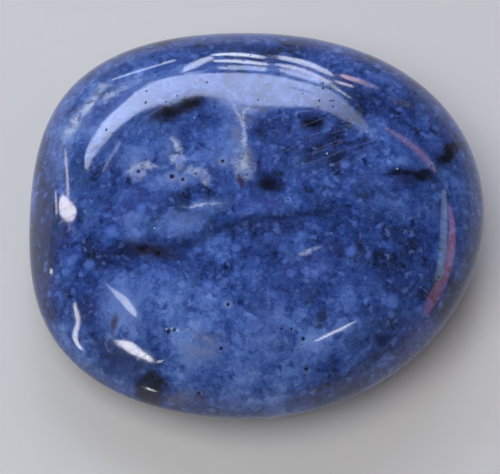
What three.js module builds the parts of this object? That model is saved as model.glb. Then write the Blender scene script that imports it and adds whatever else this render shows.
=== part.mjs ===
// A polished palm stone of dumortierite, in millimetres, lying on its small flat spot with +Z up.
// It is one natural pebble, so it is one closed body: a unit sphere whose points are moved out
// to the pebble's rim, crown and belly, and then worn down on a few broad flats.
import * as THREE from 'three';
import { mergeVertices } from 'three/addons/utils/BufferGeometryUtils.js';

// The pebble before its flats are worn on it.
const meanRadius = 22.75; // from the middle to the rim, seen from above
const crownHeight = 7.5; // from the rim up to the middle of the upper face
const bellyDepth = 7.2; // from the rim down to the middle of the underside
const crownFlatness = 4.0; // 2 is a plain dome, and more gives a broader plateau and a tighter shoulder
const bellyFlatness = 3.3;

// How the rim departs from a circle, as shares of the mean radius. Headings are degrees from +X.
const rimSwells = [
  { lobes: 2, share: 0.059, heading: 2 },
  { lobes: 3, share: 0.025, heading: 11 },
  { lobes: 4, share: 0.017, heading: 42 },
  { lobes: 5, share: 0.009, heading: 0 },
  { lobes: 6, share: 0.003, heading: 29 },
];

// The rim rises and dips this far as it goes round.
const rimRises = [
  { lobes: 1, height: 0.30, heading: 20 },
  { lobes: 2, height: 0.25, heading: 60 },
];

// Low waves left by tumbling, too shallow to feel but enough to bend a reflection.
const polishWaves = [
  { length: 17, height: 0.07, heading: 25, start: 40 },
  { length: 12, height: 0.045, heading: 118, start: 205 },
  { length: 8.5, height: 0.02, heading: 70, start: 310 },
];

// Broad flats worn on the shoulder. Lean is the angle between a flat's face and the upper face,
// reach is its distance from the middle of the pebble, and rounding softens its edges.
const wornFlats = [
  { heading: 233, lean: 42, reach: 16.3, rounding: 0.8 },
  { heading: 246, lean: 48, reach: 17.3, rounding: 0.6 },
  { heading: 178, lean: 55, reach: 19.7, rounding: 1.0 },
];
const footDepth = 0.035; // how much of the belly the flat spot takes off

const gridDetail = 18; // rows of facets on each side of the starting icosahedron

const radians = THREE.MathUtils.degToRad;

function waveSum(waves, size, turn) {
  return waves.reduce((sum, wave) => {
    return sum + wave[size] * Math.cos(wave.lobes * (turn - radians(wave.heading)));
  }, 0);
}

function polishHeight(x, y) {
  return polishWaves.reduce((sum, wave) => {
    const along = x * Math.cos(radians(wave.heading)) + y * Math.sin(radians(wave.heading));
    return sum + wave.height * Math.sin((2 * Math.PI * along) / wave.length + radians(wave.start));
  }, 0);
}

// Presses a point back towards a flat's plane, more firmly the further it stands out of it.
function wearDown(point, flat) {
  const lean = radians(flat.lean);
  const heading = radians(flat.heading);
  const outward = new THREE.Vector3(
    Math.sin(lean) * Math.cos(heading),
    Math.sin(lean) * Math.sin(heading),
    Math.cos(lean),
  );
  const beyond = point.dot(outward) - flat.reach;
  const worn = flat.rounding * Math.log1p(Math.exp(beyond / flat.rounding));
  point.addScaledVector(outward, -worn);
}

// The place on the pebble of one direction on the unit sphere.
function pebblePoint(direction) {
  const turn = Math.atan2(direction.y, direction.x);
  const spread = Math.min(1, Math.hypot(direction.x, direction.y));
  const radius = meanRadius * (1 + waveSum(rimSwells, 'share', turn));
  const point = new THREE.Vector3(radius * direction.x, radius * direction.y, 0);
  if (direction.z > 0) {
    const crown = crownHeight + polishHeight(point.x, point.y);
    point.z = crown * Math.sqrt(1 - Math.pow(spread, crownFlatness));
  } else {
    point.z = -bellyDepth * Math.sqrt(1 - Math.pow(spread, bellyFlatness));
  }
  point.z += waveSum(rimRises, 'height', turn) * spread * spread;
  wornFlats.forEach((flat) => wearDown(point, flat));
  point.z = Math.max(point.z, footDepth - bellyDepth);
  return point;
}

function pebbleGeometry() {
  let geometry = new THREE.IcosahedronGeometry(1, gridDetail);
  geometry.deleteAttribute('normal');
  geometry.deleteAttribute('uv');
  geometry = mergeVertices(geometry, 1e-5);
  const places = geometry.getAttribute('position');
  const direction = new THREE.Vector3();
  for (let i = 0; i < places.count; i += 1) {
    direction.fromBufferAttribute(places, i).normalize();
    const point = pebblePoint(direction);
    places.setXYZ(i, point.x, point.y, point.z);
  }
  geometry.computeBoundingBox();
  const box = geometry.boundingBox;
  geometry.translate(-(box.min.x + box.max.x) / 2, -(box.min.y + box.max.y) / 2, -box.min.z);
  geometry.computeVertexNormals();
  return geometry;
}

const polishedBlue = new THREE.MeshStandardMaterial({
  color: new THREE.Color(0.05, 0.085, 0.27),
  roughness: 0.12,
  metalness: 0,
});

const palmStone = new THREE.Mesh(pebbleGeometry(), polishedBlue);
palmStone.name = 'palm_stone';

const group = new THREE.Group();
group.add(palmStone);

export default group;
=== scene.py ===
# A polished palm stone of blue dumortierite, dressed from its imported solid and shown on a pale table.
import math
import bpy
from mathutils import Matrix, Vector
from mathutils.bvhtree import BVHTree
from mathutils.interpolate import poly_3d_calc


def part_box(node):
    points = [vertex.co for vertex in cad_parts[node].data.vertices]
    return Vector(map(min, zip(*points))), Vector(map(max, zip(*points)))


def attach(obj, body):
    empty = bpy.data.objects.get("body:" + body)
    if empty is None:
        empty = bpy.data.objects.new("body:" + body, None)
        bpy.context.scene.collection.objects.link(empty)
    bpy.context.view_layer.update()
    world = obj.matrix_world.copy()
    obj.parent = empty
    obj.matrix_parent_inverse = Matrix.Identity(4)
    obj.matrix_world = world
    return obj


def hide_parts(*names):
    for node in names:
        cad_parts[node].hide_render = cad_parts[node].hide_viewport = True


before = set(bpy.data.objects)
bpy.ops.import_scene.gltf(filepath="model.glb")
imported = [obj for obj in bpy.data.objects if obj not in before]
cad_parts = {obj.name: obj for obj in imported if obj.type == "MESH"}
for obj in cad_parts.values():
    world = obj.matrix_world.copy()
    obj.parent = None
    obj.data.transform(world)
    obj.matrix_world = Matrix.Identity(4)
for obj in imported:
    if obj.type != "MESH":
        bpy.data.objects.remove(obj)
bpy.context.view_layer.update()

# The stone's body
# One natural pebble of dumortierite grown through quartz, tumbled until its rim, crown and belly ran
# into one smooth curve, with a few broad flats left on its shoulder and a small one under it. It is
# shaped from a rounded cube, in millimetres.
PEBBLE_SIZES = {
    "Mean Radius": 22.75,
    "Crown Height": 7.5,
    "Belly Depth": 7.2,
    "Crown Flatness": 4.0,
    "Belly Flatness": 3.3,
    "Foot Depth": 0.035,
}
RIM_SWELLS = [  # lobes round the rim, share of the mean radius, heading in degrees from +X
    (2, 0.059, 2),
    (3, 0.025, 11),
    (4, 0.017, 42),
    (5, 0.009, 0),
    (6, 0.003, 29),
]
RIM_RISES = [(1, 0.30, 20), (2, 0.25, 60)]  # lobes round the rim, height, heading
POLISH_WAVES = [  # length, height, heading and start in degrees
    (17, 0.07, 25, 40),
    (12, 0.045, 118, 205),
    (8.5, 0.02, 70, 310),
]
WORN_FLATS = [  # heading, lean from the upper face, reach and rounding
    (233, 42, 16.3, 0.8),
    (246, 48, 17.3, 0.6),
    (178, 55, 19.7, 1.0),
]
ROWS = 128  # points along each edge of the cube
FAR_BELOW = -99.0  # past any point of the pebble, so that the foot's floor holds back heights alone


def add(tree, kind, inputs=None, **settings):
    made = tree.nodes.new(kind)
    for name, value in settings.items():
        setattr(made, name, value)
    for name, value in (inputs or {}).items():
        if isinstance(value, bpy.types.NodeSocket):
            tree.links.new(value, made.inputs[name])
        else:
            made.inputs[name].default_value = value
    return made


def calc(tree, operation, *values):
    return add(tree, "ShaderNodeMath", dict(enumerate(values)), operation=operation).outputs[0]


def vector(tree, operation, *values):
    made = add(tree, "ShaderNodeVectorMath", dict(enumerate(values)), operation=operation)
    return made.outputs["Value" if operation in ("LENGTH", "DISTANCE", "DOT_PRODUCT") else "Vector"]


pebble = bpy.data.node_groups.new("pebble", "GeometryNodeTree")
pebble.interface.new_socket("Geometry", in_out="INPUT", socket_type="NodeSocketGeometry")
for name in PEBBLE_SIZES:
    pebble.interface.new_socket(name, in_out="INPUT", socket_type="NodeSocketFloat")
pebble.interface.new_socket("Rows", in_out="INPUT", socket_type="NodeSocketInt")
pebble.interface.new_socket("Stone Low", in_out="INPUT", socket_type="NodeSocketVector")
pebble.interface.new_socket("Stone High", in_out="INPUT", socket_type="NodeSocketVector")
pebble.interface.new_socket("Finish", in_out="INPUT", socket_type="NodeSocketMaterial")
pebble.interface.new_socket("Geometry", in_out="OUTPUT", socket_type="NodeSocketGeometry")
given = pebble.nodes.new("NodeGroupInput").outputs


def lobes_round(rows, turn):
    total = 0.0
    for lobes, size, heading in rows:
        angle = calc(pebble, "MULTIPLY", calc(pebble, "SUBTRACT", turn, math.radians(heading)), lobes)
        total = calc(pebble, "MULTIPLY_ADD", calc(pebble, "COSINE", angle), size, total)
    return total


def dome(height, spread, flatness):
    rest = calc(pebble, "SUBTRACT", 1.0, calc(pebble, "POWER", spread, flatness))
    return calc(pebble, "MULTIPLY", height, calc(pebble, "SQRT", calc(pebble, "MAXIMUM", rest, 0.0)))


cube = add(pebble, "GeometryNodeMeshCube", {
    "Size": (2, 2, 2), "Vertices X": given["Rows"], "Vertices Y": given["Rows"], "Vertices Z": given["Rows"],
}).outputs["Mesh"]
corner = vector(pebble, "SCALE", pebble.nodes.new("GeometryNodeInputPosition").outputs[0])
corner.node.inputs["Scale"].default_value = math.pi / 4
direction = vector(pebble, "NORMALIZE", vector(pebble, "TANGENT", corner))
across = add(pebble, "ShaderNodeSeparateXYZ", {0: direction}).outputs
turn = calc(pebble, "ARCTAN2", across[1], across[0])
flat = add(pebble, "ShaderNodeCombineXYZ", {0: across[0], 1: across[1]}).outputs[0]
spread = calc(pebble, "MINIMUM", vector(pebble, "LENGTH", flat), 1.0)
swelling = calc(pebble, "ADD", lobes_round(RIM_SWELLS, turn), 1.0)
radius = calc(pebble, "MULTIPLY", given["Mean Radius"], swelling)
plan_x = calc(pebble, "MULTIPLY", across[0], radius)
plan_y = calc(pebble, "MULTIPLY", across[1], radius)
plan = add(pebble, "ShaderNodeCombineXYZ", {0: plan_x, 1: plan_y}).outputs[0]

crown_height = given["Crown Height"]
for length, height, heading, start in POLISH_WAVES:
    across_wave = (math.cos(math.radians(heading)), math.sin(math.radians(heading)), 0)
    phase = calc(pebble, "MULTIPLY_ADD", vector(pebble, "DOT_PRODUCT", plan, across_wave),
                 2 * math.pi / length, math.radians(start))
    crown_height = calc(pebble, "MULTIPLY_ADD", calc(pebble, "SINE", phase), height, crown_height)
crown = dome(crown_height, spread, given["Crown Flatness"])
belly = calc(pebble, "MULTIPLY", dome(given["Belly Depth"], spread, given["Belly Flatness"]), -1.0)
level = add(pebble, "GeometryNodeSwitch", {
    "Switch": calc(pebble, "GREATER_THAN", across[2], 0.0), "False": belly, "True": crown,
}, input_type="FLOAT").outputs[0]
level = calc(pebble, "MULTIPLY_ADD", lobes_round(RIM_RISES, turn), calc(pebble, "POWER", spread, 2.0), level)
point = add(pebble, "ShaderNodeCombineXYZ", {0: plan_x, 1: plan_y, 2: level}).outputs[0]

for heading, lean, reach, rounding in WORN_FLATS:
    heading, lean = math.radians(heading), math.radians(lean)
    outward = (math.sin(lean) * math.cos(heading), math.sin(lean) * math.sin(heading), math.cos(lean))
    beyond = calc(pebble, "SUBTRACT", vector(pebble, "DOT_PRODUCT", point, outward), reach)
    grown = calc(pebble, "EXPONENT", calc(pebble, "DIVIDE", beyond, rounding))
    softened = calc(pebble, "LOGARITHM", calc(pebble, "ADD", grown, 1.0), math.e)
    worn = calc(pebble, "MULTIPLY", softened, -rounding)
    inward = add(pebble, "ShaderNodeCombineXYZ", {0: worn, 1: worn, 2: worn}).outputs[0]
    point = vector(pebble, "MULTIPLY_ADD", outward, inward, point)

foot_level = calc(pebble, "SUBTRACT", given["Foot Depth"], given["Belly Depth"])
foot_floor = add(pebble, "ShaderNodeCombineXYZ", {0: FAR_BELOW, 1: FAR_BELOW, 2: foot_level}).outputs[0]
point = vector(pebble, "MAXIMUM", point, foot_floor)
shaped = add(pebble, "GeometryNodeSetPosition", {"Geometry": cube, "Position": point}).outputs[0]

# The finished pebble is set into the box of its solid.
reached = add(pebble, "GeometryNodeBoundBox", {"Geometry": shaped}).outputs
here = pebble.nodes.new("GeometryNodeInputPosition").outputs[0]
share = vector(pebble, "DIVIDE", vector(pebble, "SUBTRACT", here, reached["Min"]),
               vector(pebble, "SUBTRACT", reached["Max"], reached["Min"]))
solid_size = vector(pebble, "SUBTRACT", given["Stone High"], given["Stone Low"])
fitted = vector(pebble, "MULTIPLY_ADD", share, solid_size, given["Stone Low"])
shaped = add(pebble, "GeometryNodeSetPosition", {"Geometry": shaped, "Position": fitted}).outputs[0]
shaped = add(pebble, "GeometryNodeSetShadeSmooth", {"Geometry": shaped}).outputs[0]
shaped = add(pebble, "GeometryNodeRealizeInstances", {"Geometry": shaped}).outputs[0]
shaped = add(pebble, "GeometryNodeSetMaterial", {"Geometry": shaped, "Material": given["Finish"]}).outputs[0]
add(pebble, "NodeGroupOutput", {"Geometry": shaped})

finish = bpy.data.materials.new("polished_dumortierite")
shaping = bpy.data.objects.new("pebble_start", bpy.data.meshes.new("pebble_start"))
bpy.context.scene.collection.objects.link(shaping)
shaper = shaping.modifiers.new("pebble", "NODES")
shaper.node_group = pebble
values = dict(PEBBLE_SIZES)
values["Rows"] = ROWS
values["Stone Low"], values["Stone High"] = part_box("palm_stone")
values["Finish"] = finish
for socket in pebble.interface.items_tree:
    if socket.in_out == "INPUT" and socket.name in values:
        shaper[socket.identifier] = values[socket.name]
shaping.update_tag()
evaluated = shaping.evaluated_get(bpy.context.evaluated_depsgraph_get())
body_mesh = bpy.data.meshes.new_from_object(evaluated)
body_mesh.name = "polished_stone"
bpy.data.objects.remove(shaping)
stone = bpy.data.objects.new("polished_stone", body_mesh)
bpy.context.scene.collection.objects.link(stone)

# The stone's finish
# Blue dumortierite needles matted in paler quartz, with dark iron-stained inclusions, a few pale
# veins and pinholes. The colour runs right through, and the surface is polished to a wet gloss.
# Some of its colour is painted light: painted shade in the pinholes, pits, lower rim and right flank, and a
# few painted glints.
finish.use_nodes = True
coat = finish.node_tree
coat.nodes.clear()


def mix(amount, below, above):
    made = add(coat, "ShaderNodeMix", data_type="RGBA")
    for socket, value in zip((made.inputs[0], made.inputs[6], made.inputs[7]), (amount, below, above)):
        if isinstance(value, bpy.types.NodeSocket):
            coat.links.new(value, socket)
        else:
            socket.default_value = value if isinstance(value, float) else (*value, 1)
    return made.outputs[2]


def ramp(value, low, high, to_low=0.0, to_high=1.0):
    return add(coat, "ShaderNodeMapRange", {
        "Value": value, "From Min": low, "From Max": high, "To Min": to_low, "To Max": to_high,
    }, interpolation_type="SMOOTHSTEP").outputs["Result"]


def noise(place, size, detail, roughness=0.5, output=0):
    return add(coat, "ShaderNodeTexNoise", {
        "Vector": place, "Scale": 1 / size, "Detail": detail, "Roughness": roughness,
    }).outputs[output]


MILLIMETRES_IN_METRE = 1000.0
millimetres = add(coat, "ShaderNodeVectorMath", {
    0: add(coat, "ShaderNodeTexCoord").outputs["Object"], "Scale": MILLIMETRES_IN_METRE,
}, operation="SCALE").outputs[0]


def stirred(place, size, amount):
    shift = vector(coat, "SUBTRACT", noise(place, size, 3.0, 0.6, output=1), (0.5, 0.5, 0.5))
    return vector(coat, "MULTIPLY_ADD", shift, (amount, amount, amount), place)


ragged = stirred(millimetres, 1.8, 1.8)
crumbly = stirred(ragged, 0.5, 0.45)

# The blue ground: clouds of light and dark, and over them rounded grains of many sizes.
tone = noise(ragged, 6.0, 4.0, 0.5)
tone = calc(coat, "MULTIPLY_ADD", calc(coat, "SUBTRACT", tone, 0.5), 0.85, 0.5)
GRAINS = [  # width, how much lighter or darker, offset of the pattern
    (2.60, 0.12, (3.0, 31.0, 21.0)),
    (1.50, 0.20, (0.0, 0.0, 0.0)),
    (0.95, 0.21, (13.0, 7.0, 3.0)),
    (0.60, 0.13, (29.0, 3.0, 17.0)),
    (0.36, 0.05, (5.0, 23.0, 9.0)),
]
for width, swing, offset in GRAINS:
    place = vector(coat, "ADD", crumbly, offset)
    cells = add(coat, "ShaderNodeTexVoronoi", {"Vector": place, "Scale": 1 / width})
    chance = add(coat, "ShaderNodeSeparateColor", {0: cells.outputs["Color"]}).outputs[0]
    rounded = ramp(cells.outputs["Distance"], 0.22, 0.62, swing, 0.0)
    tone = calc(coat, "MULTIPLY_ADD", calc(coat, "SUBTRACT", chance, 0.5), rounded, tone)

# A fine felt of needles lightens and darkens everything a little.
FELT_LIGHT = (0.110, 0.145, 0.255)
FELT_DARK = (0.003, 0.012, 0.070)
felt = calc(coat, "ADD", noise(millimetres, 0.16, 1.0), noise(millimetres, 0.45, 2.0))
tone = calc(coat, "ADD", tone, ramp(felt, 0.70, 1.30, -0.02, 0.02))

# Broad lighter and darker regions: middle, half sizes, turn, and how much lighter they are. The darker ones
# on the right flank and the lower rim are painted shade.
REGIONS = [
    ((-1.0, -16.0, 13.0), (11.0, 4.5, 6.0), 0, 0.07),
    ((-13.0, -11.0, 13.0), (4.5, 3.5, 4.0), 0, 0.10),
    ((-9.5, 3.5, 14.5), (5.0, 3.5, 4.0), 20, 0.05),
    ((-7.0, -1.6, 14.5), (4.5, 2.2, 4.0), 8, -0.06),
    ((-5.0, -10.0, 14.3), (5.0, 2.5, 4.0), 0, -0.04),
    ((-17.5, 11.0, 12.0), (4.5, 5.0, 5.0), 0, 0.06),
    ((10.0, -4.0, 14.5), (9.0, 5.0, 5.0), -15, -0.03),
    ((16.0, -11.0, 12.0), (5.0, 8.0, 6.0), -30, -0.06),
    ((-21.2, -3.0, 10.9), (2.2, 3.5, 4.0), 0, -0.16),
    ((-18.8, -1.5, 12.7), (1.6, 2.0, 3.0), 0, -0.06),
    ((-17.5, -11.5, 11.0), (2.6, 3.0, 4.0), 30, -0.06),
    ((-12.6, -6.6, 14.2), (4.5, 1.3, 3.0), 0, -0.08),
    ((-2.6, 0.0, 14.6), (5.0, 1.5, 2.0), 4, -0.05),
    ((2.5, -3.0, 14.7), (8.0, 1.3, 2.0), 6, -0.06),
    ((18.0, 6.0, 12.5), (3.5, 4.0, 4.0), 45, -0.07),
    ((0.0, 18.0, 9.0), (16.0, 3.5, 6.0), 0, -0.08),
    ((16.5, -4.5, 13.6), (4.0, 4.0, 4.0), 0, 0.07),
    ((8.0, 4.6, 14.5), (6.5, 3.6, 4.0), 0, -0.04),
    ((-13.4, -11.6, 12.9), (2.4, 2.2, 3.0), 0, 0.10),
    ((-22.0, -8.0, 8.0), (2.5, 8.0, 6.0), 0, -0.05),
    ((-12.6, -3.4, 14.3), (6.0, 4.4, 4.0), 0, -0.06),
    ((10.4, 0.6, 14.4), (6.0, 3.8, 4.0), -15, -0.08),
    ((8.4, -11.6, 14.0), (3.0, 2.6, 4.0), 0, -0.09),
    # painted shade: the right flank is darker where it faces the table
    ((21.0, -6.0, 9.0), (3.5, 8.0, 6.0), 0, -0.10),
    ((-12.6, 1.6, 14.2), (3.0, 3.6, 4.0), 0, -0.06),
    ((-11.2, -7.4, 14.2), (4.6, 2.6, 4.0), 0, -0.06),
    ((4.8, -0.2, 14.6), (2.6, 5.4, 3.0), 0, -0.05),
    ((17.0, -7.4, 12.8), (3.0, 3.0, 4.0), 0, -0.05),
    ((13.4, 11.4, 12.4), (7.0, 4.0, 5.0), -32, -0.05),
    ((-2.4, -14.0, 13.6), (4.0, 4.4, 4.0), 0, 0.11),
    # painted shade: the next two darken the lower rim next to the table
    ((3.2, -19.2, 9.5), (5.4, 2.4, 5.0), 0, -0.06),
    ((-13.2, -18.2, 7.5), (3.0, 2.4, 5.0), 0, -0.06),
    ((-9.4, -3.6, 14.5), (2.8, 2.2, 3.0), 0, -0.05),
    ((-12.6, -14.4, 12.0), (3.0, 2.4, 4.0), 0, 0.08),
    ((-3.6, 2.6, 14.6), (3.0, 3.2, 3.0), 0, 0.05),
]


def spot(place, centre, half_sizes, turn, softness):
    inside = add(coat, "ShaderNodeMapping", {
        "Vector": place, "Location": centre, "Rotation": (0, 0, math.radians(turn)),
        "Scale": tuple(2 * half for half in half_sizes),
    }, vector_type="TEXTURE").outputs[0]
    nearness = add(coat, "ShaderNodeTexGradient", {"Vector": inside}, gradient_type="SPHERICAL")
    return ramp(nearness.outputs["Fac"], 0.5 - softness / 2, 0.5 + softness / 2)


for centre, half_sizes, turn, lighter in REGIONS:
    region = spot(ragged, centre, half_sizes, turn, 0.6)
    tone = calc(coat, "MULTIPLY_ADD", region, lighter, tone)

ground = add(coat, "ShaderNodeValToRGB", {"Fac": tone})
BLUES = [
    (0.28, (0.005, 0.010, 0.040)),
    (0.36, (0.010, 0.023, 0.100)),
    (0.43, (0.016, 0.039, 0.163)),
    (0.49, (0.025, 0.058, 0.214)),
    (0.55, (0.039, 0.083, 0.276)),
    (0.62, (0.066, 0.128, 0.355)),
    (0.72, (0.116, 0.190, 0.445)),
]
stops = ground.color_ramp.elements
while len(stops) < len(BLUES):
    stops.new(0.5)
for stop, (position, blue) in zip(stops, BLUES):
    stop.position = position
    stop.color = (*blue, 1)
colour = ground.outputs["Color"]

# Patches where the blue leans to a greyer teal or to violet.
TEAL = (0.032, 0.068, 0.150)
VIOLET = (0.040, 0.045, 0.190)
colour = mix(ramp(noise(ragged, 5.0, 3.0), 0.50, 0.72, 0.0, 0.36), colour, TEAL)
aside = vector(coat, "ADD", ragged, (37.0, 11.0, 5.0))
colour = mix(ramp(noise(aside, 4.5, 3.0), 0.52, 0.74, 0.0, 0.35), colour, VIOLET)
colour = mix(ramp(felt, 0.98, 1.30, 0.0, 0.16), colour, FELT_LIGHT)
colour = mix(ramp(felt, 0.70, 1.00, 0.22, 0.0), colour, FELT_DARK)

# Round grains that stand alone: light blue ones and fewer, smaller navy ones, in loose clusters.
LONE_GRAINS = [  # distance apart, share of places that have one, radius, blend, colour, offset
    (1.30, 0.42, 0.36, 0.50, (0.078, 0.145, 0.420), (7.0, 5.0, 1.0)),
    (0.80, 0.28, 0.24, 0.40, (0.105, 0.165, 0.400), (2.0, 17.0, 4.0)),
    (1.90, 0.25, 0.26, 0.65, (0.007, 0.016, 0.065), (11.0, 2.0, 8.0)),
]
for apart, share, radius, blend, tint, offset in LONE_GRAINS:
    place = vector(coat, "ADD", ragged, offset)
    cells = add(coat, "ShaderNodeTexVoronoi", {"Vector": place, "Scale": 1 / apart})
    chance = add(coat, "ShaderNodeSeparateColor", {0: cells.outputs["Color"]}).outputs[0]
    round_grain = ramp(cells.outputs["Distance"], 0.5 * radius / apart, 1.4 * radius / apart, 1.0, 0.0)
    chosen = ramp(calc(coat, "ADD", chance, noise(place, 3.0, 1.0)), 1.45 - share, 1.55 - share, 0.0, blend)
    colour = mix(calc(coat, "MULTIPLY", round_grain, chosen), colour, tint)

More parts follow.
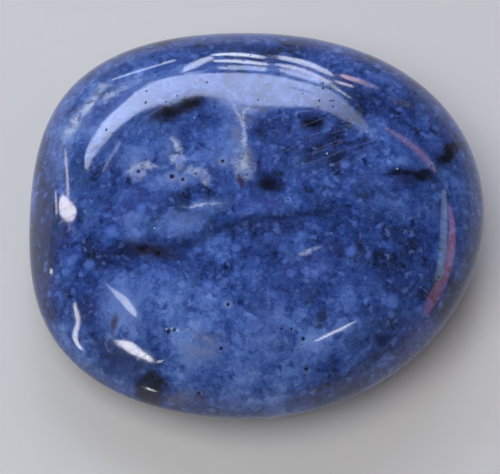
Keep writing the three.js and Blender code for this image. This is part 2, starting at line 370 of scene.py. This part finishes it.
# Marks seen on the upper face: middle, half sizes, turn and softness. Each list has one colour, how
# strong it is, how much of it is left where it breaks up, and how its outline is stirred.
grainy = stirred(crumbly, 0.16, 0.30)
nearest = stirred(millimetres, 0.45, 0.30)
MARKS = [
    ((0.098, 0.162, 0.395), 0.78, 0.50, grainy, [  # light patches
        ((-12.4, -2.7, 14.3), (1.10, 0.90, 0.8), 40, 0.6),
        ((-12.3, -4.5, 14.3), (0.80, 0.90, 0.8), 0, 0.6),
        ((-12.3, 4.2, 14.3), (1.70, 1.20, 0.9), 30, 0.6),
        ((-8.3, 1.6, 14.5), (2.20, 0.95, 0.9), 6, 0.6),
        ((-8.8, 5.0, 14.5), (0.80, 1.30, 0.9), -15, 0.9),
        ((-5.0, -1.2, 14.6), (2.00, 0.60, 0.9), 8, 1.0),
        ((-2.0, 7.0, 14.7), (1.00, 2.60, 0.9), 10, 1.0),
        ((-3.4, 3.8, 14.6), (1.10, 1.10, 0.9), 0, 0.7),
        ((-7.6, -3.2, 14.6), (2.10, 1.30, 0.9), 10, 0.7),
        ((-13.6, -10.9, 13.2), (2.00, 1.40, 1.5), 20, 0.8),
        ((-5.6, -16.4, 12.8), (1.80, 1.00, 1.5), 0, 0.8),
        ((-15.4, 8.6, 13.2), (2.20, 0.70, 2.0), 52, 0.8),
    ]),
    ((0.335, 0.395, 0.520), 0.90, 0.24, grainy, [  # pale veins and rings of quartz
        ((-7.9, 5.3, 14.5), (0.24, 1.15, 0.9), 22, 0.7),
        ((-7.8, 3.7, 14.5), (0.80, 0.80, 0.9), 0, 0.5),
        ((-10.9, 3.2, 14.4), (1.10, 0.34, 0.9), -10, 0.8),
        ((-12.0, 2.5, 14.4), (0.80, 0.80, 0.9), 0, 0.6),
        ((-5.9, 2.2, 14.6), (1.30, 0.40, 0.9), -18, 0.8),
        ((-5.1, 1.4, 14.6), (0.60, 0.30, 0.9), -40, 0.8),
        ((-5.6, -1.1, 14.6), (1.50, 0.13, 0.9), 8, 1.0),
        ((5.2, -6.4, 14.6), (0.80, 0.22, 0.8), 20, 1.0),
        ((-1.7, 8.1, 14.7), (0.26, 1.60, 0.9), 26, 0.6),
        ((-1.1, 9.0, 14.7), (0.20, 0.90, 0.9), -28, 0.8),
        ((-1.1, 5.9, 14.7), (0.28, 1.10, 0.9), -4, 0.8),
        ((-1.3, 3.3, 14.7), (0.80, 1.30, 0.9), 6, 1.0),
        ((-17.3, 10.6, 12.4), (2.00, 0.40, 1.6), 58, 0.9),
        ((-16.4, 12.3, 12.3), (1.40, 0.40, 1.6), 44, 0.9),
        ((-18.9, 8.8, 11.9), (1.60, 0.40, 1.6), 68, 0.9),
        ((-14.6, 11.9, 13.0), (1.20, 0.30, 1.6), 36, 0.9),
    ]),
    ((0.076, 0.148, 0.450), 0.72, 0.80, nearest, [  # single light blue grains
        ((-14.5, -3.9, 14.0), (0.55, 0.55, 0.8), 0, 0.7),
        ((-16.7, -7.1, 13.2), (0.50, 0.50, 0.8), 0, 0.7),
        ((-4.8, -9.7, 14.4), (0.45, 0.42, 0.8), 0, 0.7),
        ((-4.0, -10.3, 14.4), (0.40, 0.30, 0.8), 20, 0.7),
        ((13.4, -10.9, 12.9), (0.60, 0.60, 0.8), 0, 0.7),
        ((-11.6, -1.5, 14.4), (0.40, 0.40, 0.8), 0, 0.7),
        ((-7.8, 3.7, 14.5), (0.44, 0.44, 0.8), 0, 0.7),
        ((-12.0, 2.5, 14.4), (0.48, 0.48, 0.8), 0, 0.7),
        ((8.9, 3.2, 14.6), (0.45, 0.45, 0.8), 0, 0.7),
        ((9.3, -6.2, 14.5), (0.45, 0.45, 0.8), 0, 0.7),
    ]),
    ((0.130, 0.125, 0.140), 0.60, 0.15, grainy, [  # iron-stained quartz
        ((-1.1, 8.2, 14.7), (0.50, 0.60, 0.8), 0, 0.9),
        ((-1.9, 6.2, 14.7), (0.40, 0.80, 0.8), 0, 0.9),
        ((-0.8, 3.8, 14.7), (0.50, 0.80, 0.8), 0, 0.9),
        ((-7.1, -19.7, 9.0), (1.60, 0.60, 1.4), 8, 0.8),
        ((14.7, 10.7, 13.2), (1.20, 0.30, 0.9), -18, 0.9),
        ((-5.2, -15.6, 13.0), (1.60, 1.00, 1.4), 20, 1.0),
    ]),
    ((0.006, 0.012, 0.050), 0.90, 0.78, grainy, [  # navy shadows
        ((-3.4, -3.9, 14.7), (2.60, 0.60, 0.9), 26, 0.9),
        ((-7.2, -5.6, 14.6), (2.60, 0.40, 0.9), 20, 1.0),
        ((1.8, -2.6, 14.7), (3.00, 0.46, 0.9), 3, 1.0),
        ((6.0, -2.1, 14.6), (2.40, 0.46, 0.9), 3, 1.0),
        ((1.3, 1.1, 14.7), (1.30, 1.10, 0.9), 0, 0.7),
        ((-11.0, -5.9, 14.4), (3.00, 1.00, 0.9), -8, 0.9),
        ((-21.2, -2.8, 10.8), (1.00, 1.90, 2.0), 0, 0.8),
        ((12.6, -14.3, 11.4), (0.90, 0.50, 0.9), 0, 0.8),
        ((-7.6, 9.8, 14.3), (3.20, 1.00, 1.0), 20, 0.8),
        ((15.8, 2.6, 14.0), (2.40, 0.70, 0.9), 0, 0.9),
        ((19.6, 5.4, 12.4), (2.40, 0.90, 2.4), 50, 0.9),
        ((5.7, 7.9, 14.5), (1.00, 0.90, 0.9), 0, 0.8),
        ((-2.6, 17.9, 9.5), (2.40, 1.50, 2.6), 0, 0.9),
        ((-14.4, -15.6, 10.6), (2.40, 1.20, 2.4), -36, 0.9),
    ]),
    ((0.034, 0.018, 0.042), 0.90, 0.85, nearest, [  # brown inclusions
        ((-14.2, -13.0, 12.1), (0.38, 0.90, 0.9), -15, 0.7),
        ((-1.6, 1.3, 14.7), (0.26, 0.75, 0.8), 14, 0.5),
    ]),
    ((0.014, 0.012, 0.022), 0.90, 0.60, grainy, [  # dark olive inclusions
        ((6.2, -13.8, 13.6), (0.55, 0.25, 0.8), 25, 0.8),
        ((6.3, -12.8, 13.8), (0.36, 0.80, 0.8), -30, 0.9),
        ((-10.4, -6.2, 14.4), (1.80, 0.60, 0.8), -6, 0.9),
        ((-8.2, 9.4, 14.3), (2.20, 0.95, 0.9), 18, 0.8),
        ((-4.4, -7.6, 14.6), (0.30, 0.25, 0.8), 0, 0.7),
    ]),
    ((0.002, 0.002, 0.004), 0.97, 0.80, grainy, [  # black inclusions
        ((-8.8, 9.2, 14.3), (1.30, 0.80, 0.8), 14, 0.8),
        ((-6.8, 10.1, 14.4), (1.20, 0.50, 0.8), 22, 0.9),
        ((1.2, 1.0, 14.7), (0.85, 0.60, 0.8), 0, 0.9),
        ((2.1, 2.2, 14.7), (0.36, 0.40, 0.8), 0, 0.9),
        ((5.8, 7.9, 14.5), (0.95, 0.80, 0.9), 0, 0.8),
        ((19.6, 5.3, 12.4), (1.90, 0.62, 2.4), 52, 0.5),
        ((16.7, 2.4, 13.6), (1.10, 0.60, 0.8), 0, 0.6),
        ((14.7, 2.5, 14.0), (1.60, 0.40, 0.8), 4, 0.8),
        ((-10.6, -18.7, 8.6), (1.45, 2.00, 2.6), -32, 0.35),
        ((-11.4, -5.7, 14.4), (0.40, 0.24, 0.8), 0, 0.9),
        ((-9.8, -6.4, 14.4), (0.30, 0.18, 0.8), 0, 0.9),
    ]),
    ((0.400, 0.440, 0.520), 0.80, 0.80, nearest, [  # painted glints: pale specks that stand in for highlights on tiny chips
        ((-8.3, -13.9, 13.2), (0.14, 0.10, 0.4), 30, 0.4),
        ((-7.8, -14.1, 13.2), (0.10, 0.12, 0.4), 0, 0.4),
        ((-8.9, -13.9, 13.2), (0.09, 0.09, 0.4), 0, 0.4),
        ((-10.2, -3.7, 14.4), (0.08, 0.08, 0.4), 0, 0.4),
        ((-6.3, 8.4, 14.5), (0.09, 0.07, 0.4), 0, 0.4),
        ((7.1, 4.4, 14.6), (0.09, 0.09, 0.4), 0, 0.4),
        ((14.2, 2.9, 14.1), (0.10, 0.08, 0.4), 0, 0.4),
        ((-9.6, -16.6, 11.4), (0.45, 0.07, 0.5), 10, 0.5),
        ((-10.8, -16.2, 11.3), (0.07, 0.30, 0.5), 20, 0.5),
    ]),
]
broken = noise(crumbly, 0.75, 3.0, 0.6)
for tint, blend, left, outline, marks in MARKS:
    covered = spot(outline, *marks[0])
    for mark in marks[1:]:
        covered = calc(coat, "MAXIMUM", covered, spot(outline, *mark))
    covered = calc(coat, "MULTIPLY", covered, ramp(broken, 0.32, 0.64, left, 1.0))
    colour = mix(calc(coat, "MULTIPLY", covered, blend), colour, tint)

# Pinholes: middle and radius. The first group has rings of paler quartz round them.
RINGED_PINHOLES = [
    ((-8.5, 1.9, 14.5), 0.30),
    ((-7.4, 1.6, 14.5), 0.22),
    ((-6.1, 2.2, 14.6), 0.18),
    ((-3.4, 3.5, 14.7), 0.22),
    ((-11.9, 2.5, 14.3), 0.22),
    ((-2.8, -11.7, 14.2), 0.19),
]
PINHOLES = [
    ((-11.2, 3.8, 14.4), 0.15),
    ((-3.5, -15.9, 13.1), 0.22),
    ((-5.7, -19.5, 10.0), 0.28),
    ((4.6, -15.0, 13.3), 0.24),
    ((4.9, -17.6, 11.9), 0.28),
    ((4.7, -18.1, 11.5), 0.18),
    ((3.4, -14.1, 13.7), 0.15),
    ((2.4, -14.1, 13.7), 0.15),
    ((-0.4, -14.6, 13.6), 0.14),
    ((13.6, -7.2, 13.6), 0.14),
    ((-8.7, -14.2, 13.2), 0.28),
    ((-8.1, -14.0, 13.2), 0.22),
    ((-9.3, -14.5, 13.1), 0.22),
    ((-8.4, -14.8, 13.1), 0.22),
    ((-10.3, -16.4, 11.4), 0.20),
]
RING = (0.130, 0.175, 0.350)
# painted shade: this near-black colour stands for the shade inside pinholes and pits
PAINTED_HOLE_SHADE = (0.002, 0.004, 0.026)


def nearest_hole(reach, holes):
    for centre, radius in holes:
        away = vector(coat, "DISTANCE", nearest, centre)
        reach = calc(coat, "MINIMUM", reach, calc(coat, "DIVIDE", away, radius))
    return reach


FAR_FROM_HOLES = 9.0  # in radii of a pinhole, as the shares below are
ringed_reach = nearest_hole(FAR_FROM_HOLES, RINGED_PINHOLES)
colour = mix(ramp(ringed_reach, 1.5, 3.2, 0.55, 0.0), colour, RING)
hole_cover = ramp(nearest_hole(ringed_reach, PINHOLES), 0.50, 1.25, 1.0, 0.0)
# The pinholes are painted near black, as painted shade inside them.
colour = mix(calc(coat, "MULTIPLY", hole_cover, 0.96), colour, PAINTED_HOLE_SHADE)

# The polish: nearly a mirror, broken only by pinholes, clusters of tiny pits and hairline scratches.
POLISH = 0.06  # how rough the polished surface is
DULLING = 0.12  # how much rougher the pits and pinholes are
RELIEF_DEPTH = 0.00008  # metres from the surface to the bottom of a pinhole
STONE_IOR = 1.6  # between quartz and dumortierite
PIT_SPACING = 0.7
SCRATCH_HEADING = 24
SCRATCH_DRAWN_OUT = (9.0, 1.6, 3.0)  # how far the scratches' pattern is stretched each way
SCRATCH_DEPTH = 0.012  # as a share of a pinhole's depth, like the next
WAVER_HEIGHT = 0.04
pit_cells = add(coat, "ShaderNodeTexVoronoi", {"Vector": nearest, "Scale": 1 / PIT_SPACING})
pit_chance = add(coat, "ShaderNodeSeparateColor", {0: pit_cells.outputs["Color"]}).outputs[1]
pit_chance = calc(coat, "ADD", pit_chance, noise(millimetres, 2.6, 1.0))
pit_shape = ramp(pit_cells.outputs["Distance"], 0.08, 0.20, 1.0, 0.0)
pits = calc(coat, "MULTIPLY", ramp(pit_chance, 1.33, 1.39), pit_shape)
# The pits are painted darker, as painted shade inside them.
colour = mix(calc(coat, "MULTIPLY", pits, 0.7), colour, PAINTED_HOLE_SHADE)
drawn_out = add(coat, "ShaderNodeMapping", {
    "Vector": millimetres, "Rotation": (0, 0, math.radians(SCRATCH_HEADING)), "Scale": SCRATCH_DRAWN_OUT,
}, vector_type="TEXTURE").outputs[0]
scratch = calc(coat, "ABSOLUTE", calc(coat, "SUBTRACT", noise(drawn_out, 1.0, 1.0), 0.5))
scratch = ramp(scratch, 0.001, 0.006, 1.0, 0.0)
waver = noise(millimetres, 1.1, 2.0)
low_places = calc(coat, "MAXIMUM", hole_cover, pits)
dents = calc(coat, "MULTIPLY_ADD", scratch, SCRATCH_DEPTH, low_places)
height = calc(coat, "SUBTRACT", calc(coat, "MULTIPLY", waver, WAVER_HEIGHT), dents)
relief = add(coat, "ShaderNodeBump", {
    "Height": height, "Distance": RELIEF_DEPTH, "Strength": 1.0,
}).outputs["Normal"]

gloss = add(coat, "ShaderNodeBsdfPrincipled", {
    "Base Color": colour,
    "Roughness": calc(coat, "MULTIPLY_ADD", low_places, DULLING, POLISH),
    "IOR": STONE_IOR,
    "Normal": relief,
})
add(coat, "ShaderNodeOutputMaterial", {"Surface": gloss.outputs["BSDF"]})

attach(stone, "root")
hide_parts("palm_stone")

# The table
# A plain sheet of pale, matt board lies under the stone. It is cut wide enough to fill the view and
# to be what the stone's lower flank mirrors.
TABLE_REACH = 2.0  # metres from the stone to the board's edges
BOARD = (0.47, 0.465, 0.455)
BOARD_ROUGHNESS = 0.9
table_mesh = bpy.data.meshes.new("table")
table_mesh.from_pydata([
    (-TABLE_REACH, -TABLE_REACH, 0), (TABLE_REACH, -TABLE_REACH, 0),
    (TABLE_REACH, TABLE_REACH, 0), (-TABLE_REACH, TABLE_REACH, 0),
], [], [(0, 1, 2, 3)])
table = bpy.data.objects.new("table", table_mesh)
bpy.context.scene.collection.objects.link(table)
pale = bpy.data.materials.new("pale_table")
pale.use_nodes = True
board = pale.node_tree.nodes["Principled BSDF"]
board.inputs["Base Color"].default_value = (*BOARD, 1)
board.inputs["Roughness"].default_value = BOARD_ROUGHNESS
table_mesh.materials.append(pale)

# The camera
# A close-up lens looks steeply down on the stone from the near side, as one looks at a stone in the
# hand. Lengths are metres, and the lens and sensor are in millimetres.
CAMERA_ELEVATION = 68
CAMERA_DISTANCE = 0.230
LENS = 160.0
SENSOR = 36.0
AIM = Vector((-0.00065, -0.00140, 0.00643))
camera_data = bpy.data.cameras.new("camera")
camera_data.lens = LENS
camera_data.sensor_width = SENSOR
camera_data.clip_start = 0.01
camera = bpy.data.objects.new("camera", camera_data)
back = Vector((0, -math.cos(math.radians(CAMERA_ELEVATION)), math.sin(math.radians(CAMERA_ELEVATION))))
facing = (-back).to_track_quat("-Z", "Y")
camera.location = AIM + CAMERA_DISTANCE * back
camera.rotation_euler = facing.to_euler()
bpy.context.scene.collection.objects.link(camera)
bpy.context.scene.camera = camera

# The studio lights
# Curved softboxes stand round the stone beyond the picture, like the panes and lamps of a room. The
# long one behind it shows as the pale band on the far shoulder. Each hangs where the polish mirrors
# it to the place in the picture where it is seen.
PICTURE_WIDTH, PICTURE_HEIGHT = 500, 474
NEAREST_BOX = 0.62  # metres from the stone's middle
BOX_SPACING = 0.006  # how much further off each box hangs than the one before it
EDGE_SHARE = 0.06  # how much of a box's width its soft edge takes

# A tint, a strength, the brightness of the first edge, middle and second edge, and the stations along
# the box. A station is the place of each edge, across and down in the picture in its pixels, and
# last how bright the box is there, where that isn't 1.
SOFTBOXES = {
    "glazing_bar": ((0.45, 0.60, 1.0), 3.0, (1.0, 0.7, 1.0), [
        (289, 86.2, 289, 87.4), (302, 89.5, 302, 91), (315, 92.8, 314.7, 94.2),
    ]),
    "long_softbox": ((0.64, 0.73, 1.0), 7.5, (1.0, 1.0, 0.92), [
        (85, 169, 87.5, 169.5, 0.9), (84, 158, 93, 159, 1.1), (86.5, 149, 98.5, 150, 1.25),
        (92, 139, 106, 142, 1.35), (98, 129, 113, 134, 1.35), (105, 120, 121, 126, 1.35),
        (114, 111, 130, 119, 1.35), (124, 102, 138, 113, 1.35), (133, 94, 147, 109, 1.25),
        (142, 87, 156, 107, 1.25), (155, 81, 166, 105, 1.1), (170, 77, 178, 102, 1.05),
        (185, 74.5, 190, 98), (200, 73.5, 204, 96), (216, 72.8, 217, 98),
        (232, 72.3, 232, 104), (248, 72.3, 248, 108), (264, 73.3, 264, 109),
        (280, 75.5, 280, 108.3), (290, 78.5, 290, 108), (300, 81, 299, 108),
        (310, 83.5, 308, 108, 0.95), (322, 86.5, 318, 109, 0.85), (331, 89.5, 326, 112, 0.7),
        (338, 94, 334, 116, 0.6), (346, 100, 341, 119.5, 0.5), (354, 108, 350, 124, 0.45),
        (362, 118, 359, 129, 0.4), (370, 129, 368, 133, 0.35),
    ]),
    "edge_thread": ((0.74, 0.82, 1.0), 8.0, (0.8, 1.0, 0.8), [
        (163, 80, 164, 82), (175, 76.5, 176, 78.5), (187, 73.5, 188, 75.5), (200, 71, 200, 72.5),
    ]),
    "tail_thread": ((0.80, 0.86, 1.0), 9.0, (0.7, 1.0, 0.7), [
        (332, 84, 331.5, 86), (337, 87.5, 336, 90), (343, 91.5, 342, 93.5), (350, 97, 349.5, 98),
    ]),
    "tail_edge": ((0.74, 0.80, 1.0), 7.0, (0.7, 1.0, 0.7), [
        (345, 113.5, 344, 116), (355, 121, 354, 123.5), (365, 129, 364, 131), (373, 136, 372.5, 137),
    ]),
    "first_pane": ((0.80, 0.86, 1.0), 12.0, (0.9, 1.0, 0.9), [
        (213, 54, 213, 56), (230, 52.5, 230, 55.5), (250, 53.5, 250, 57), (264, 56.5, 264, 59),
    ]),
    "second_pane": ((0.80, 0.86, 1.0), 11.0, (0.9, 1.0, 0.9), [
        (213, 60, 213, 62), (230, 59, 230, 62.5), (250, 60.5, 250, 64), (268, 63, 268, 66),
    ]),
    "third_pane": ((0.80, 0.86, 1.0), 9.0, (0.9, 1.0, 0.8), [
        (277, 55, 277, 59), (290, 57, 290, 62), (305, 60, 305, 66), (320, 66, 320, 72), (333, 74, 333, 77),
    ]),
    "fourth_pane": ((0.84, 0.84, 1.0), 9.0, (0.9, 1.0, 0.8), [
        (277, 63, 277, 66), (290, 65, 290, 69), (305, 69, 305, 74), (320, 76, 320, 80), (331, 81, 331, 85),
    ]),
    "under_pane": ((0.64, 0.74, 1.0), 8.0, (0.9, 1.0, 0.9), [
        (218, 66.8, 218, 69.5), (240, 64.8, 240, 69.8), (268, 67, 268, 71.5),
    ]),
    "under_pane_right": ((0.68, 0.74, 1.0), 8.0, (0.8, 1.0, 0.9), [
        (278, 67.5, 278, 71), (290, 69.5, 289, 75.5), (302, 72.5, 301, 78.5), (315, 77.5, 314, 82),
        (328, 83.5, 327, 86),
    ]),
    "fifth_pane": ((0.90, 0.88, 1.0), 9.0, (0.8, 1.0, 0.8), [
        (336, 80, 335, 82.5), (344, 82.5, 343, 85.5), (353, 85.5, 352, 87.5),
    ]),
    "lens_pane": ((0.74, 0.82, 1.0), 9.5, (0.8, 1.0, 0.9), [
        (181, 72, 183, 72), (186, 66, 189, 71), (194, 61.5, 198, 67), (203, 57.5, 206, 63),
        (212, 56, 213, 59),
    ]),
    "outer_thread": ((0.70, 0.80, 1.0), 8.0, (0.6, 1.0, 0.6), [
        (112, 79, 112, 80.5), (130, 73, 131, 75), (150, 67, 151, 69), (175, 59, 176, 61.5),
    ]),
    "rose_pane": ((0.92, 0.66, 0.72), 5.6, (0.6, 1.0, 0.7), [
        (341, 73.5, 340, 76.5, 1.6), (350, 76, 349, 81, 1.5), (360, 78.5, 359, 83.5, 1.0),
        (370, 82, 368, 87.5, 0.4), (379, 87, 378, 89.5, 0.3),
    ]),
    "rose_thread": ((0.90, 0.54, 0.66), 2.4, (0.5, 1.0, 0.5), [
        (386, 126, 384, 129), (402, 135, 398, 140), (418, 145, 414, 153), (430, 158, 425, 165),
        (437, 171, 434, 173),
    ]),
    "inner_thread": ((0.70, 0.80, 1.0), 5.2, (0.6, 1.0, 0.6), [
        (119, 142, 122, 143), (110, 156, 112, 158), (101, 172, 103, 173),
    ]),
    "side_lamp": ((1.0, 0.93, 0.94), 12.0, (0.9, 1.0, 1.0), [
        (61, 196, 65, 196), (58, 204, 72, 203), (59, 212, 78, 211), (62, 218, 76, 217), (66, 221, 72, 221),
    ]),
    "side_lamp_tail": ((1.0, 0.86, 0.86), 6.0, (0.5, 1.0, 0.6), [
        (64, 150, 66, 150), (65, 165, 68, 165), (66, 180, 69, 180), (66, 196, 70, 196),
    ]),
    "side_glint": ((0.86, 0.90, 1.0), 6.0, (0.5, 1.0, 0.6), [
        (54, 190, 56, 190), (55, 205, 58, 205), (55, 215, 58, 215),
    ]),
    "wavy_lamp": ((0.92, 0.92, 1.0), 10.0, (0.9, 1.0, 0.9), [
        (73, 303, 76, 303), (74, 312, 79, 312), (77, 322, 81, 324), (73, 331, 78, 333), (73, 341, 78, 341),
        (79, 349, 84, 350),
    ]),
    "near_lamp": ((0.92, 0.93, 1.0), 7.0, (0.9, 1.0, 0.9), [
        (106, 284, 107, 283, 0.4), (112, 291.5, 114.5, 289.5, 0.6), (120, 302, 128.5, 297.5),
        (129, 312, 137, 310), (136, 318, 137, 317.5),
    ]),
    "low_lamp": ((0.98, 0.96, 1.0), 14.0, (0.9, 1.0, 0.9), [
        (114, 341, 116, 339), (123, 340, 119, 346), (131, 341, 126, 351), (141, 349, 136, 356),
        (150, 356, 147, 361), (153, 360, 151, 362.5),
    ]),
    "lowest_lamp": ((1.0, 1.0, 0.98), 14.0, (0.8, 1.0, 0.8), [
        (147, 387, 147, 389), (152, 389, 151, 391), (158, 392, 157, 394),
    ]),
    "left_dot": ((0.94, 0.96, 1.0), 7.5, (0.8, 1.0, 0.8), [(49, 269, 53, 269), (49, 274, 53, 274)]),
    "slim_lamp": ((0.94, 0.94, 1.0), 9.0, (0.7, 1.0, 0.7), [
        (314, 341, 315, 342), (325, 334, 327, 337), (337, 329, 339, 332), (350, 323, 350, 325),
        (356, 321, 356, 322),
    ]),
    "right_strip": ((0.54, 0.70, 0.86), 2.6, (0.6, 1.0, 0.9), [
        (441, 190, 446, 190), (440, 215, 447.5, 215), (438.5, 240, 447, 240), (436.5, 262, 445, 262),
        (433.5, 280, 441, 282),
    ]),
    "brick_strip": ((1.0, 0.42, 0.42), 2.4, (0.8, 1.0, 0.8), [
        (447.5, 205, 451, 206), (449, 222, 455, 222), (447.5, 240, 455.5, 240), (445, 258, 454.5, 258),
        (440, 275, 450, 275, 0.85), (430, 290, 444, 291, 0.65), (424, 302, 437, 304, 0.6),
        (423, 316, 425, 317, 0.6),
    ]),
    "fading_box": ((0.60, 0.70, 1.0), 7.2, (0.9, 0.36, 0.03), [
        (214, 96, 213, 100), (224, 99, 222, 106), (232, 103, 231, 112), (240, 106, 239, 116),
        (248, 107, 247, 119), (260, 106, 259, 117), (270, 105, 270, 112), (281, 104, 281, 108.7),
        (290, 104, 290, 108.6), (298, 104, 298, 108.3), (306, 104, 306, 108), (315, 104, 315, 107.8),
    ]),
    "left_haze": ((0.62, 0.76, 1.0), 1.7, (0.12, 1.0, 0.3), [
        (50, 186, 62, 186), (46, 165, 70, 165), (50, 150, 80, 150), (62, 122, 92, 127), (85, 97, 108, 109),
        (112, 83, 130, 94), (140, 72, 155, 81),
    ]),
}
centre = Vector((0, 0, 0.013))
surface = BVHTree.FromPolygons(
    [point.co for point in body_mesh.vertices], [face.vertices for face in body_mesh.polygons])


# Looks from the camera at a place in the picture, bounces off the stone there, and goes on until it is
# the given distance from the stone's middle. Gives the heading and height of that end, in degrees.
def mirrored(across, down, distance):
    ray = facing @ Vector((
        (across - PICTURE_WIDTH / 2) * SENSOR / LENS / PICTURE_WIDTH,
        (PICTURE_HEIGHT / 2 - down) * SENSOR / LENS / PICTURE_WIDTH,
        -1,
    )).normalized()
    place, _, face, _ = surface.ray_cast(camera.location, ray)
    corners = [body_mesh.vertices[index] for index in body_mesh.polygons[face].vertices]
    weights = poly_3d_calc([corner.co for corner in corners], place)
    upright = sum((weight * corner.normal for weight, corner in zip(weights, corners)), Vector()).normalized()
    bounced = ray - 2 * ray.dot(upright) * upright
    out = place - centre
    onward = bounced.dot(out)
    end = out + bounced * (math.sqrt(onward ** 2 - out.length_squared + distance ** 2) - onward)
    heading = (math.degrees(math.atan2(end.y, end.x)) + 90) % 360 - 90
    return heading, math.degrees(math.asin(end.z / distance))


def towards(heading, height):
    heading, height = math.radians(heading), math.radians(height)
    return Vector((
        math.cos(height) * math.cos(heading),
        math.cos(height) * math.sin(heading),
        math.sin(height),
    ))


def smoothed(stations):
    for _ in range(2):
        rounder = [stations[0]]
        for one, next_one in zip(stations, stations[1:]):
            rounder.append(tuple(0.75 * a + 0.25 * b for a, b in zip(one, next_one)))
            rounder.append(tuple(0.25 * a + 0.75 * b for a, b in zip(one, next_one)))
        stations = rounder + [stations[-1]]
    return stations


for order, (name, (tint, strength, glows, stations)) in enumerate(SOFTBOXES.items()):
    distance = NEAREST_BOX + BOX_SPACING * order
    hung = []
    for first_across, first_down, second_across, second_down, *varied in stations:
        first_edge = mirrored(first_across, first_down, distance)
        second_edge = mirrored(second_across, second_down, distance)
        hung.append((*first_edge, *second_edge, varied[0] if varied else 1.0))
    shares = (0.0, EDGE_SHARE, 0.5, 1 - EDGE_SHARE, 1.0)
    corners, brightness, faces = [], [], []
    for row, (heading, height, heading_across, height_across, level) in enumerate(smoothed(hung)):
        for share in shares:
            corners.append(centre + distance * towards(
                heading + share * (heading_across - heading), height + share * (height_across - height)))
        brightness += [0.0, glows[0] * level, glows[1] * level, glows[2] * level, 0.0]
        if row:
            this_row, last_row = row * len(shares), (row - 1) * len(shares)
            for step in range(len(shares) - 1):
                faces.append((last_row + step, last_row + step + 1, this_row + step + 1, this_row + step))
    box_mesh = bpy.data.meshes.new(name)
    box_mesh.from_pydata(corners, [], faces)
    glow = box_mesh.attributes.new("glow", "FLOAT", "POINT")
    glow.data.foreach_set("value", brightness)
    softbox = bpy.data.objects.new(name, box_mesh)
    bpy.context.scene.collection.objects.link(softbox)
    shine = bpy.data.materials.new(name)
    shine.use_nodes = True
    shine.node_tree.nodes.clear()
    spread_glow = add(shine.node_tree, "ShaderNodeAttribute", attribute_name="glow").outputs["Fac"]
    light = add(shine.node_tree, "ShaderNodeEmission", {
        "Color": (*tint, 1),
        "Strength": calc(shine.node_tree, "MULTIPLY", spread_glow, strength),
    })
    add(shine.node_tree, "ShaderNodeOutputMaterial", {"Surface": light.outputs[0]})
    box_mesh.materials.append(shine)

# One soft lamp overhead lights the stone's colour and throws its shadow, and isn't mirrored itself.
LAMP_WIDTH = 0.5
LAMP_POWER = 3.3
LAMP_PLACE = Vector((-0.15, -0.1, 0.6))
overhead = bpy.data.lights.new("overhead_softbox", "AREA")
overhead.shape = "DISK"
overhead.size = LAMP_WIDTH
overhead.energy = LAMP_POWER
overhead.specular_factor = 0.0
overhead_lamp = bpy.data.objects.new("overhead_softbox", overhead)
overhead_lamp.location = LAMP_PLACE
overhead_lamp.rotation_euler = (centre - LAMP_PLACE).to_track_quat("-Z", "Y").to_euler()
overhead_lamp.visible_glossy = False
bpy.context.scene.collection.objects.link(overhead_lamp)

# The room's own light is dim and bluish, a little stronger near the horizon than above.
ROOM_BLUE = (0.80, 0.88, 1.0)
HORIZON_STRENGTH, UPPER_STRENGTH = 0.34, 0.06
UPPER_START = 0.45  # the height, as a share of straight up, where the upper strength is reached
room = bpy.data.worlds.new("room")
room.use_nodes = True
sky = room.node_tree.nodes["Background"]
sky.inputs["Color"].default_value = (*ROOM_BLUE, 1)
look = add(room.node_tree, "ShaderNodeTexCoord").outputs["Generated"]
look_height = add(room.node_tree, "ShaderNodeSeparateXYZ", {0: look}).outputs["Z"]
fading = add(room.node_tree, "ShaderNodeMapRange", {
    "Value": look_height, "From Min": 0.0, "From Max": UPPER_START,
    "To Min": HORIZON_STRENGTH, "To Max": UPPER_STRENGTH,
}, interpolation_type="SMOOTHSTEP").outputs["Result"]
room.node_tree.links.new(fading, sky.inputs["Strength"])
bpy.context.scene.world = room
bpy.context.scene.view_settings.view_transform = "Standard"
